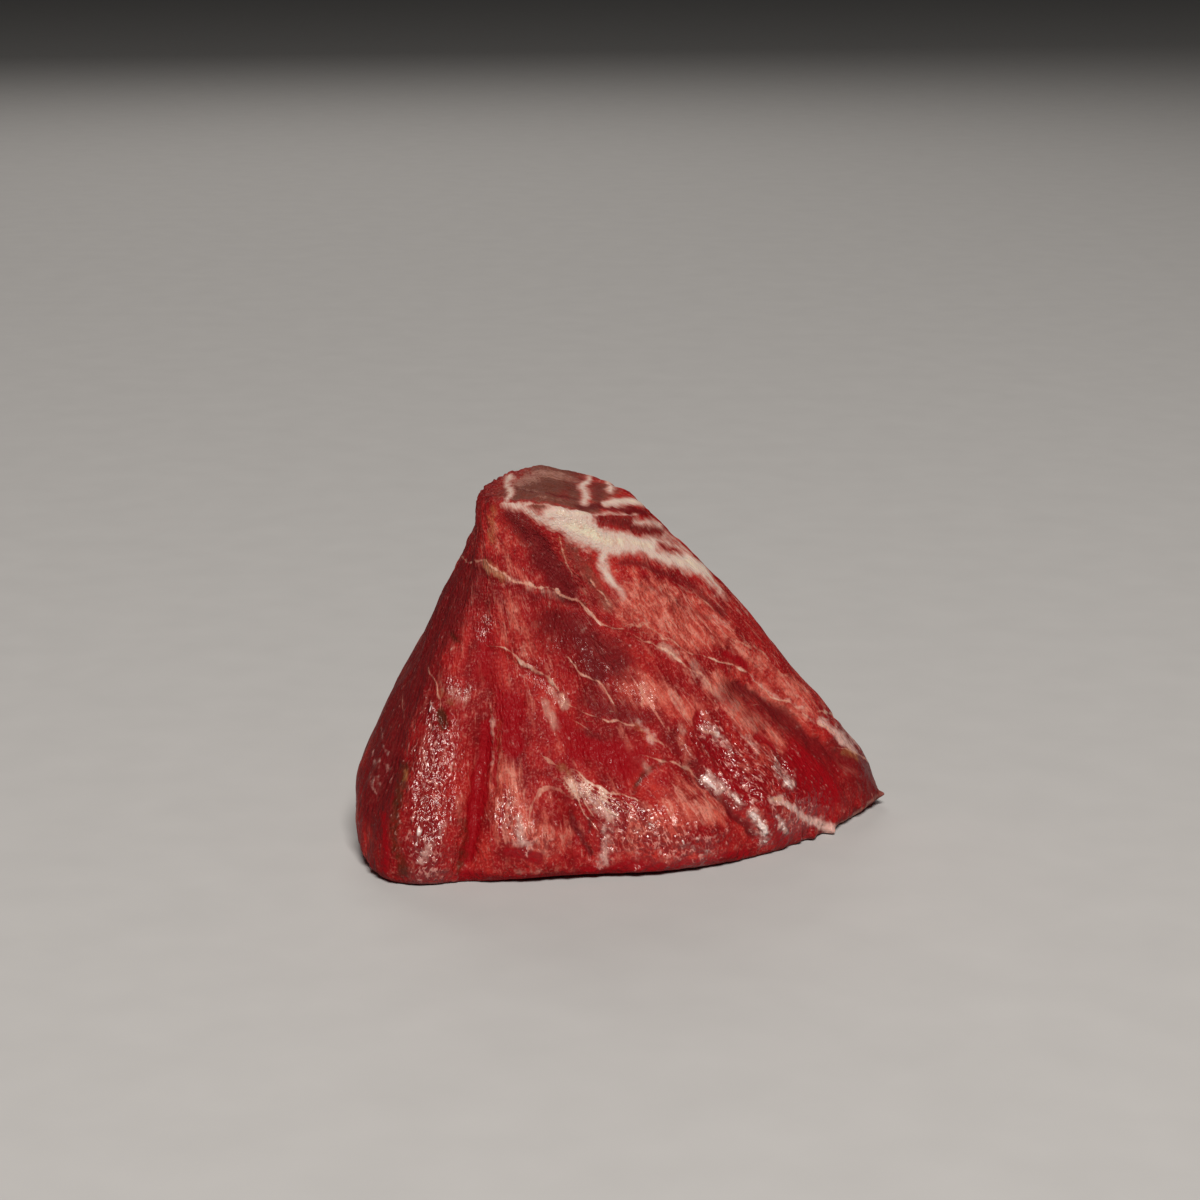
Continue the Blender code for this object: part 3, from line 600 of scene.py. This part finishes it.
# %% Sum the relief and move the points
GROOVES = {
    "furrow": ("front", 1.1, 1.6, (-31.8, 42), (-32.3, 30), (-33.3, 22), (-34.6, 14.5), (-36, 5)),
    "line in the furrow": ("front", 0.5, 0.8, (-29.6, 42), (-29.8, 30), (-30.4, 20)),
    "beside the patch": ("front", 0.5, 0.9, (-23.6, 38), (-23.6, 28)),
    "pit in the nose": ("front", 1.2, 1.2, (-42.4, 35.4), (-42, 34.6)),
    "pit above it": ("front", 0.7, 1.0, (-41, 52.2), (-39.6, 51.4)),
    "olive hollow": ("front", 0.3, 1.2, (1.8, 19.6), (4.4, 22)),
    "fissure": ("front", 1.0, 0.8, (-12.3, 15.6), (-11.6, 11.5), (-10.3, 8), (-8.4, 5.8)),
    "short fissure": ("front", 0.7, 0.6, (-8.2, 14), (-8.8, 10.5)),
    "edge of the lobe": ("front", 1.3, (2.0, 0.5), (15, 20.8), (19.9, 17.5), (25.7, 11), (28.8, 8.5), (30.6, 5)),
    "under the ledge": ("front", 0.9, (0.4, 2.0), (27, 36.6), (32, 33.2), (40, 26.8), (47, 20.2), (54, 14.4)),
    "under the upper septum": ("front", 0.6, (0.3, 1.7), (-34, 66.4), (-24, 62.6), (-15, 59.8), (-9, 56.8), (1.6, 50.6)),
    "under the middle septum": ("front", 0.8, (0.3, 1.7), (-31, 49.4), (-22, 45.7), (-15.8, 40.6)),
    "groove of the ribs": ("front", 0.8, 1.2, (17.2, 32.4), (19.6, 27), (24, 21.6), (29.3, 16)),
    "second groove": ("front", 0.6, 1.0, (31.5, 25), (35.6, 21), (39, 16)),
    "stripe by the crown": ("front", 0.6, 0.9, (-7.5, 79), (0, 77.6), (6, 75), (10, 72.4)),
    "second stripe": ("front", 0.6, 1.0, (-4.4, 75.8), (3.7, 73), (9.7, 69.8), (14.6, 65.4)),
    "beside the tendon": ("front", 0.6, 0.9, (-7, 69), (-6, 64), (-3.6, 60)),
    "below the band": ("front", 0.5, 0.9, (-1, 67.4), (6, 65), (13, 60.4), (20, 55.6)),
    "above the strip": ("front", 0.6, 0.9, (36, 15), (41, 11), (46, 5)),
    "furrow at the back": ("back", 0.9, 1.6, (16, 56), (18, 34), (22, 10)),
    "second at the back": ("back", 0.7, 1.3, (-22, 60), (-28, 40), (-34, 18)),
    "under the upper septum at the back": ("back", 0.7, (1.7, 0.4), (-46, 43), (-32, 51), (-16, 49), (0, 43), (14, 39)),
    "under the lower septum at the back": ("back", 0.7, (1.7, 0.4), (-44, 19), (-26, 28), (-8, 25), (12, 19), (30, 11)),
    "furrow at the left": ("left", 0.8, 1.3, (14, 60), (10, 40), (9, 18)),
    "furrow at the right": ("right", 0.6, 1.3, (-8, 31), (4, 26), (16, 22), (28, 12)),
}
TAGS = {
    "tip": ((63.0, 10, 2.6), (1.7, 0, 0.7), 0.95),
    "end of the strip": ((49.2, -9.5, 1.2), (1.3, -1.9, -0.3), 1.3),
    "by the strip": ((45, -14, 1.2), (0.4, -1.4, 0), 1.2),
    "right edge": ((57.4, 0.5, 3.4), (0.9, -0.9, 0.3), 1.1),
    "peak of the crown": ((-3.4, 11.5, 80.2), (0.3, 0, 1.5), 0.9),
}
RAG_DEPTH = 0.8
RAG_SIZE = 3.2
RAG_FADE = (1.5, 5.5)
GROOVE_DEPTH = 0.9
BUNDLE_DEPTH = 0.55
FIBRE_DEPTH = 0.08
LUMP_DEPTH = 0.24
CREASE_DEPTH = 0.22
FAT_SWELL = 0.18
FOOT_FADE = (0.6, 4.0)

bundles = cloud(grain / [1, 1, 6], 5.0, 3)
fibres = cloud(grain / [1, 1, 9], 1.7, 2)
lumps = cloud(grain / [1, 1, 1.8], 2.4, 3)
creases = 1 - smooth_between(np.abs(cloud(points + 50, 4.5, 2)), 0, 0.22)
grooves = lay(GROOVES)
in_fat = smooth_between(fat, -0.8, 1.2)
relief = (
    BUNDLE_DEPTH * bundles * (1 - 0.7 * in_fat)
    + FIBRE_DEPTH * fibres * (1 - 0.8 * in_fat)
    + LUMP_DEPTH * lumps * (0.25 + wet)
    - CREASE_DEPTH * creases * wet
    + FAT_SWELL * smooth_between(fat, -0.8, 1.6)
    - GROOVE_DEPTH * grooves
)
relief *= smooth_between(points[:, 2], *FOOT_FADE)
points += relief[:, None] * facings

ragged = RAG_DEPTH * cloud(points * [1, 1, 0.6], RAG_SIZE, 3) * (1 - smooth_between(points[:, 2], *RAG_FADE))
points[:, :2] += ragged[:, None] * facings[:, :2]
for root, pull, reach in TAGS.values():
    away = np.linalg.norm(points - root, axis=1)
    points += np.exp(-((away / reach) ** 2))[:, None] * np.array(pull)
points[:, 2] = np.maximum(points[:, 2], 0)
print("relief runs from", round(relief.min(), 2), "to", round(relief.max(), 2), "mm")

# %% [markdown]
# ## Back into the mesh
#
# The masks and the grain are stored with the points, so that the finish can read them. The flat
# underside needs none of its little squares, so they are dissolved into one face, which keeps the
# model light.

# %% Store the points and masks, and clear the underside
skin.vertices.foreach_set("co", (points * MM).ravel())
masks = {
    "fat": fat, "seam_side": seam_side, "seam_width": seam_width, "seam_share": seam_share,
    "shade_and_maroon": shade_and_maroon, "deep": deep, "salmon_and_light": salmon_and_light, "tan": tan,
    "olive": olive, "ochre": ochre, "brown": brown, "pale": pale, "wet": wet,
}
for name, mask in masks.items():
    stored = skin.attributes.new(name, "FLOAT", "POINT")
    stored.data.foreach_set("value", mask.astype(np.float32))
stored = skin.attributes.new("grain", "FLOAT_VECTOR", "POINT")
stored.data.foreach_set("vector", grain.astype(np.float32).ravel())

bm = bmesh.new()
bm.from_mesh(skin)
flat = [face for face in bm.faces if max(v.co.z for v in face.verts) < 0.02 * MM]
bmesh.ops.dissolve_faces(bm, faces=flat, use_verts=True)
for face in bm.faces:
    face.smooth = True
bm.to_mesh(skin)
bm.free()
flesh_piece = bpy.data.objects.new("tuna_flesh", skin)
bpy.context.scene.collection.objects.link(flesh_piece)
skin.calc_loop_triangles()
print("finished flesh:", len(skin.loop_triangles), "triangles")

# %% [markdown]
# ## The finish: raw tuna flesh
#
# Raw tuna is wet protein, so it is a soft, slightly see-through red with a thin film of juice on top.
# Light goes in, loses its green and blue within a millimetre or two, and comes out red, which is what
# the subsurface radii say. The film is water, with an IOR of 1.33, over flesh of about 1.40. The
# colour comes in layers, as a painter would do it: reds by the bundle, then the broad strokes, then
# fine pale fibres, then septa and fat on top, each with its edge broken by noise.

# %% Colours, and one helper for nodes
def linear(code):
    """An sRGB hex colour as the linear numbers that a shader takes."""
    levels = [int(code[i : i + 2], 16) / 255 for i in (1, 3, 5)]
    return [x / 12.92 if x <= 0.04045 else ((x + 0.055) / 1.055) ** 2.4 for x in levels] + [1.0]


flesh = bpy.data.materials.new("raw tuna flesh")
flesh.use_nodes = True
tree = flesh.node_tree
tree.nodes.clear()


def add(kind, settings=None, inputs=None):
    """Adds one node, with its settings, and its inputs as numbers, colours or links from other nodes."""
    node = tree.nodes.new(kind)
    for name, value in (settings or {}).items():
        setattr(node, name, value)
    for name, value in (inputs or {}).items():
        if isinstance(value, bpy.types.NodeSocket):
            tree.links.new(value, node.inputs[name])
        else:
            node.inputs[name].default_value = value
    return node


# %% Coordinates in mm, along the steak and along the grain
here = add("ShaderNodeTexCoord").outputs["Object"]
place = add("ShaderNodeVectorMath", {"operation": "SCALE"}, {0: here, "Scale": 1 / MM}).outputs[0]
grain_way = add("ShaderNodeAttribute", {"attribute_name": "grain"}).outputs["Vector"]
stored_mask = {
    name: add("ShaderNodeAttribute", {"attribute_name": name}).outputs["Fac"] for name in masks
}

# %% [markdown]
# ### Patterns
#
# Every pattern starts from a real size. Bundles of fibres are 3 to 6 mm across, fibres about 1 mm,
# the beads of juice 0.7 mm. Noise on the grain coordinates is squeezed along the fibres, so its
# lumps come out as long streaks.

# %% Noise at the real sizes
CLOUD_SIZE = 14.0
MOTTLE_SIZE = 3.2
FRAY_SIZE = 1.3
SAND_SIZE = 0.55
BUNDLE_SIZE = (4.2, 4.2, 26.0)
FLECK_SIZE = (2.1, 2.1, 8.0)
WISP_SIZE = (1.5, 1.5, 9.0)
THREAD_SIZE = (2.4, 2.4, 13.0)
STREAK_SIZE = (1.3, 1.3, 24.0)
GLEAM_SIZE = (0.85, 0.85, 3.0)
DASH_SIZE = (0.8, 0.8, 1.7)
LACE_SIZE = (0.85, 0.85, 2.2)


def speckle(size, detail=3, seed=0.0, twist=0.0):
    """Noise whose lumps have one size in mm, or a size across and along the grain."""
    if isinstance(size, tuple):
        vector = add("ShaderNodeMapping", None, {"Vector": grain_way, "Location": (seed, seed, seed),
                                                 "Scale": [1 / width for width in size]}).outputs[0]
        scale = 1.0
    else:
        vector, scale = place, 1 / size
    return add("ShaderNodeTexNoise", None,
               {"Vector": vector, "Scale": scale, "Detail": detail, "Distortion": twist}).outputs["Fac"]


def veins(value, reach):
    """1 along the winding lines where a noise passes through its middle, and 0 past some reach."""
    off = add("ShaderNodeMath", {"operation": "SUBTRACT"}, {0: value, 1: 0.5}).outputs[0]
    off = add("ShaderNodeMath", {"operation": "ABSOLUTE"}, {0: off}).outputs[0]
    return add("ShaderNodeMapRange", None, {"Value": off, "From Max": reach, "To Min": 1.0, "To Max": 0.0}).outputs[0]


clouds = speckle(CLOUD_SIZE)
mottle = speckle(MOTTLE_SIZE)
fray = speckle(FRAY_SIZE)
sand = speckle(SAND_SIZE, 1)
bundle = speckle(BUNDLE_SIZE)
red_flecks = speckle(FLECK_SIZE)
pale_flecks = speckle(FLECK_SIZE, 3, 31.0)
wisps = speckle(WISP_SIZE, 2)
threads = veins(speckle(THREAD_SIZE, 2, 7.0, 0.6), 0.16)
streaks = speckle(STREAK_SIZE, 2, 11.0, 0.5)
gleams = speckle(GLEAM_SIZE, 2, 19.0)
dashes = speckle(DASH_SIZE, 1)
lace = veins(speckle(LACE_SIZE, 2, 3.0, 0.4), 0.11)

# %% [markdown]
# ### Red by the bundle
#
# Two noises together choose the red: slow clouds, and streaks along the bundles. The colours run
# from nearly black red to salmon.

# %% Reds
RED_STOPS = [
    (0.30, "#580A0D"),
    (0.43, "#7E1013"),
    (0.52, "#991A1B"),
    (0.62, "#B02E27"),
    (0.74, "#C54C3D"),
]
SHARES = [(clouds, 0.40), (bundle, 0.30), (mottle, 0.30)]


def blend_of(shares, shift=0.0):
    """The weighted sum of some noises."""
    total = shift
    for value, share in shares:
        total = add("ShaderNodeMath", {"operation": "MULTIPLY_ADD"}, {0: value, 1: share, 2: total}).outputs[0]
    return total


reds = add("ShaderNodeValToRGB", None, {"Fac": blend_of(SHARES)})
ramp = reds.color_ramp
while len(ramp.elements) < len(RED_STOPS):
    ramp.elements.new(0.5)
for element, (stop, code) in zip(ramp.elements, RED_STOPS):
    element.position = stop
    element.color = linear(code)
paint = reds.outputs["Color"]

# %% [markdown]
# ### Painting over it
#
# Each coat of paint has a colour, an amount that rises smoothly between two levels of some value, and
# a greatest share. The value is a noise for the flecks, and for a stroke it is the mask plus or minus
# a noise, so that a band which was laid smooth gets the frayed edge of torn muscle.

# %% One coat of paint
def coat(paint, code, value, start, full, most):
    """Paint one colour over another where a value passes from start to full."""
    amount = add("ShaderNodeMapRange", {"interpolation_type": "SMOOTHSTEP"},
                 {"Value": value, "From Min": start, "From Max": full, "To Max": most}).outputs[0]
    return add("ShaderNodeMix", {"data_type": "RGBA"}, {0: amount, 6: paint, 7: linear(code)}).outputs[2]


def frayed(name, shares):
    """A stored mask with its edge broken up by noises, each of which averages a half."""
    return blend_of([(stored_mask[name], 1.0)] + shares, -0.5 * sum(share for _, share in shares))


wet, salmon_and_light_mask = stored_mask["wet"], stored_mask["salmon_and_light"]
paint = coat(paint, "#C26A5C", blend_of([(pale_flecks, 1.0), (salmon_and_light_mask, 0.14)]), 0.58, 0.76, 0.60)
paint = coat(paint, "#8C0B15", red_flecks, 0.53, 0.68, 0.70)
# Salmon coat: partly lighter flesh, partly painted light.
paint = coat(paint, "#CA5C4C", frayed("salmon_and_light", [(mottle, 0.9), (pale_flecks, 1.0)]), 0.25, 1.10, 0.74)
paint = coat(paint, "#D88C7C", blend_of([(streaks, 1.0), (salmon_and_light_mask, 0.22)]), 0.72, 0.84, 0.55)
paint = coat(paint, "#8E1C1A", blend_of([(streaks, -1.0), (salmon_and_light_mask, 0.22)], 1.0), 0.72, 0.84, 0.45)

# %% [markdown]
# ### Threads and sand
#
# Fine pale threads of tissue wind along the grain everywhere. Close up, cut muscle also looks sandy:
# each cut fibre end is a dot half a millimetre wide, some pinker and some deeper than the next. The
# deep strokes and the dark strokes, which are mostly painted shade, go over both, because a fresh
# tear, dried flesh and shade are all smooth.

# %% Threads, sand and the broad strokes
thread_value = blend_of([(threads, 0.5), (mottle, 0.6), (fray, 0.3), (salmon_and_light_mask, 0.16)])
paint = coat(paint, "#D08C7C", thread_value, 0.93, 1.12, 0.46)
paint = coat(paint, "#6E0A10", blend_of([(sand, -1.0)], 1.0), 0.52, 0.68, 0.30)
paint = coat(paint, "#DA8678", sand, 0.54, 0.70, 0.20)
paint = coat(paint, "#6B4034", frayed("brown", [(mottle, 0.5), (wisps, 0.6)]), 0.20, 0.95, 0.85)
paint = coat(paint, "#C08E80", frayed("tan", [(fray, 0.8), (wisps, 1.4), (mottle, 0.6)]), 0.30, 1.10, 0.66)
# Dark coat: mostly painted shade, partly maroon flesh.
paint = coat(paint, "#5C1115", frayed("shade_and_maroon", [(bundle, 0.5), (fray, 0.4), (sand, 0.3)]), 0.15, 0.95, 0.80)
# Deep coat: crimson flesh, darker in the furrows for painted shade.
paint = coat(paint, "#8C0410", frayed("deep", [(bundle, 0.5), (fray, 0.4), (sand, 0.3)]), 0.20, 0.70, 0.92)
paint = coat(paint, "#40200F", frayed("olive", [(fray, 0.9)]), 0.30, 1.00, 0.80)

# %% [markdown]
# ### Lace and painted highlights
#
# Where the flesh is wet and torn, pale threads close up into a lacy web with deep red between. The
# deep red in the crevices is partly painted shade. The white gleams along the grain are painted
# highlights; the pink and white on the lace threads and the pale strokes are partly pale tissue and
# partly painted highlights, glints of the soft box put into the colour.

# %% Lace and painted highlights
# Deep red in the crevices between the lace threads: partly painted shade.
paint = coat(paint, "#76070F", blend_of([(lace, -0.6), (wet, 0.8)], 0.3), 0.50, 0.90, 0.70)
damp = add("ShaderNodeMath", {"operation": "MINIMUM"}, {0: wet, 1: 1.0}).outputs[0]
soaked_glint_spots = add("ShaderNodeMapRange", None, {"Value": frayed("wet", [(mottle, 1.3)]), "From Min": 1.0,
                                          "From Max": 1.4}).outputs[0]
lace_and_glint_value = blend_of([(lace, 0.35), (dashes, 0.95), (fray, 0.8), (damp, 0.32), (soaked_glint_spots, -0.3)])
# Pink and white on the lace threads: partly pale tissue, partly painted highlights.
paint = coat(paint, "#DC9C92", lace_and_glint_value, 1.36, 1.62, 0.50)
paint = coat(paint, "#EFD6D0", lace_and_glint_value, 1.62, 1.90, 0.60)
# Pale strokes: real tendon and tissue, and painted highlights on the wet clusters.
paint = coat(paint, "#D9B0A6", frayed("pale", [(fray, 1.3), (mottle, 1.2), (dashes, 0.5)]), 0.25, 1.30, 0.80)
paint = coat(paint, "#AD7448", frayed("ochre", [(fray, 0.9), (wisps, 0.5)]), 0.30, 1.10, 0.55)
# White gleams along the grain: painted highlights.
painted_glint_value = blend_of([(gleams, 1.0), (soaked_glint_spots, 0.22), (stored_mask["pale"], 0.09), (damp, 0.23), (fray, 0.2)])
paint = coat(paint, "#F0DAD5", painted_glint_value, 1.04, 1.20, 0.85)

# %% [markdown]
# ### Septa and fat
#
# The septa and the fat go on last. A septum is wherever the distance to it is under its half width,
# give or take a frayed tenth of a millimetre. The fat is cream where it is thick and pink where flesh
# shows through, and its edge is drawn out into wisps along the grain.

# %% Septa and fat
side = add("ShaderNodeMath", {"operation": "ABSOLUTE"}, {0: stored_mask["seam_side"]}).outputs[0]
swell = add("ShaderNodeMapRange", None,
            {"Value": blend_of([(mottle, 0.4), (wisps, 0.35), (fray, 0.25)]), "From Min": 0.38, "From Max": 0.64,
             "To Max": 1.7}).outputs[0]
line_depth = add("ShaderNodeMath", {"operation": "MULTIPLY_ADD"},
                 {0: stored_mask["seam_width"], 1: swell, 2: blend_of([(side, -1.0)])}).outputs[0]
line = add("ShaderNodeMapRange", {"interpolation_type": "SMOOTHSTEP"},
           {"Value": line_depth, "From Min": -0.14, "From Max": 0.26}).outputs[0]
line = add("ShaderNodeMath", {"operation": "MULTIPLY"}, {0: line, 1: blend_of([(stored_mask["seam_share"], 1.0), (mottle, 1.2), (bundle, 0.6)], -0.95)}).outputs[0]
paint = coat(paint, "#C98E7B", line, 0.0, 1.0, 0.90)
bright = add("ShaderNodeMath", {"operation": "MULTIPLY"}, {0: line, 1: blend_of([(wisps, 1.0), (dashes, 0.6)])}).outputs[0]
paint = coat(paint, "#DFC3B4", bright, 0.55, 0.95, 0.60)
in_fat = add("ShaderNodeMapRange", None, {"Value": stored_mask["fat"], "From Min": -0.5, "From Max": 1.5}).outputs[0]
fat_edge = frayed("fat", [(fray, 1.0), (wisps, 1.5)])
paint = coat(paint, "#B97F74", fat_edge, -0.70, 0.20, 0.80)
paint = coat(paint, "#CDB6AB", fat_edge, -0.10, 0.90, 0.94)
paint = coat(paint, "#DBD0B8", blend_of([(stored_mask["fat"], 1.0), (bundle, 3.5)], -1.75), 0.9, 2.7, 0.92)
fat_streaks = blend_of([(wisps, 1.0), (in_fat, 0.6)])
paint = coat(paint, "#BE8F7C", fat_streaks, 1.10, 1.28, 0.50)

# %% [markdown]
# ### Gloss and fine relief
#
# The film of juice is smooth, and the beads under it break its shine into sparkles. Dry flesh has a
# wider, duller shine. The fine relief is height only, with its depth in metres.

# %% Roughness, bump and the shader
GRIT_HEIGHT = 0.14
DASH_HEIGHT = 0.58
LACE_HEIGHT = 0.07
GLEAM_HEIGHT = 0.5
LINE_HEIGHT = 0.10

roughness = add("ShaderNodeMapRange", None,
                {"Value": wet, "From Min": 0.05, "From Max": 0.9, "To Min": 0.60, "To Max": 0.36}).outputs[0]
beads = add("ShaderNodeMapRange", {"interpolation_type": "SMOOTHSTEP"},
            {"Value": blend_of([(dashes, 0.5), (clouds, 0.5), (wet, 0.1)]), "From Min": 0.56, "From Max": 0.66}).outputs[0]
film = add("ShaderNodeMapRange", None,
           {"Value": blend_of([(wet, 1.0), (beads, 0.30)]), "From Min": 0.1, "From Max": 0.8,
            "To Min": 0.03, "To Max": 1.0}).outputs[0]
dash_share = add("ShaderNodeMapRange", None,
                 {"Value": blend_of([(wet, 1.0), (stored_mask["fat"], -0.4)]), "From Min": -0.6,
                  "From Max": 0.9, "To Min": 0.2, "To Max": 1.0}).outputs[0]
dash_relief = add("ShaderNodeMath", {"operation": "MULTIPLY"}, {0: dashes, 1: dash_share}).outputs[0]
lace_relief = add("ShaderNodeMath", {"operation": "MULTIPLY"}, {0: lace, 1: wet}).outputs[0]
gleam_relief = add("ShaderNodeMath", {"operation": "MULTIPLY"}, {0: gleams, 1: soaked_glint_spots}).outputs[0]
film_height = blend_of([(dash_relief, DASH_HEIGHT), (lace_relief, LACE_HEIGHT), (gleam_relief, GLEAM_HEIGHT),
                        (line, LINE_HEIGHT)])
film_bump = add("ShaderNodeBump", None, {"Height": film_height, "Distance": MM, "Strength": 1.0}).outputs[0]
grit_bump = add("ShaderNodeBump", None, {"Height": sand, "Distance": GRIT_HEIGHT * MM, "Strength": 1.0,
                                         "Normal": film_bump}).outputs[0]
shader = add("ShaderNodeBsdfPrincipled", None, {
    "Base Color": paint,
    "Roughness": roughness,
    "IOR": 1.40,
    "Specular IOR Level": 0.12,
    "Subsurface Weight": 0.15,
    "Subsurface Radius": (1.0, 0.22, 0.12),
    "Subsurface Scale": 0.8 * MM,
    "Coat Weight": film,
    "Coat Roughness": 0.15,
    "Coat IOR": 1.45,
    "Normal": grit_bump,
    "Coat Normal": film_bump,
})
add("ShaderNodeOutputMaterial", None, {"Surface": shader.outputs[0]})
skin.materials.append(flesh)
print("flesh finish:", len(tree.nodes), "nodes")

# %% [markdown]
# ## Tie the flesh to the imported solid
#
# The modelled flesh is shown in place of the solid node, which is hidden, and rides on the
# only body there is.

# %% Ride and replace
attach(flesh_piece, "root")
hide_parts("tuna_steak")

# %% [markdown]
# ## A place to look at it
#
# A pale, matt floor that reaches far past the view, a dim grey world, and one large soft box above
# the camera. The soft box is what makes the lower slopes glisten, because they tilt up towards it.

# %% Floor
FLOOR_HALF = 8.0

sheet = bpy.data.meshes.new("studio_floor")
bm = bmesh.new()
bmesh.ops.create_grid(bm, x_segments=1, y_segments=1, size=FLOOR_HALF)
bm.to_mesh(sheet)
bm.free()
floor = bpy.data.objects.new("studio_floor", sheet)
bpy.context.scene.collection.objects.link(floor)

paper = bpy.data.materials.new("matt grey studio paper")
paper.use_nodes = True
tree = paper.node_tree
tree.nodes.clear()
grain_of_paper = add("ShaderNodeTexNoise", None, {"Scale": 900.0, "Detail": 2})
paper_tone = add("ShaderNodeValToRGB", None, {"Fac": grain_of_paper.outputs["Fac"]})
paper_tone.color_ramp.elements[0].color = linear("#B4B5B6")
paper_tone.color_ramp.elements[1].color = linear("#BCBDBE")
paper_shader = add("ShaderNodeBsdfPrincipled", None,
                   {"Base Color": paper_tone.outputs["Color"], "Roughness": 0.9})
add("ShaderNodeOutputMaterial", None, {"Surface": paper_shader.outputs[0]})
sheet.materials.append(paper)

# %% Soft box, fill and world
def soft_box(name, place, aim, width, height, power):
    """A rectangular area light at one place in metres, turned to aim at another."""
    lamp = bpy.data.lights.new(name, "AREA")
    lamp.shape = "RECTANGLE"
    lamp.size, lamp.size_y = width, height
    lamp.energy = power
    lamp.color = WARM
    box = bpy.data.objects.new(name, lamp)
    box.location = place
    box.rotation_euler = (Vector(aim) - Vector(place)).to_track_quat("-Z", "Y").to_euler()
    bpy.context.scene.collection.objects.link(box)
    return box


AIM = (0, 0, 0.035)
KEY_RISE = math.radians(50)
KEY_FAR = 2.2
WARM = (1.0, 0.93, 0.86)
soft_box("key", (0.15, -KEY_FAR * math.cos(KEY_RISE), KEY_FAR * math.sin(KEY_RISE)), AIM, 0.75, 0.6, 52)
soft_box("fill", (-0.3, 1.8, 1.4), AIM, 1.0, 1.0, 11)

world = bpy.data.worlds.new("dim studio")
world.use_nodes = True
world.node_tree.nodes["Background"].inputs["Color"].default_value = linear("#CFCBC6")
world.node_tree.nodes["Background"].inputs["Strength"].default_value = 0.04
bpy.context.scene.world = world
bpy.context.scene.view_settings.view_transform = "Standard"

# %% Camera
CAMERA_PLACE = (-0.00587, -0.61564, 0.2239)
LOOKS_DOWN = 15.28
LENS = 80

lens = bpy.data.cameras.new("camera")
lens.lens = LENS
lens.sensor_width = 36
camera = bpy.data.objects.new("camera", lens)
camera.location = CAMERA_PLACE
camera.rotation_euler = (math.radians(90 - LOOKS_DOWN), 0, 0)
bpy.context.scene.collection.objects.link(camera)
bpy.context.scene.camera = camera
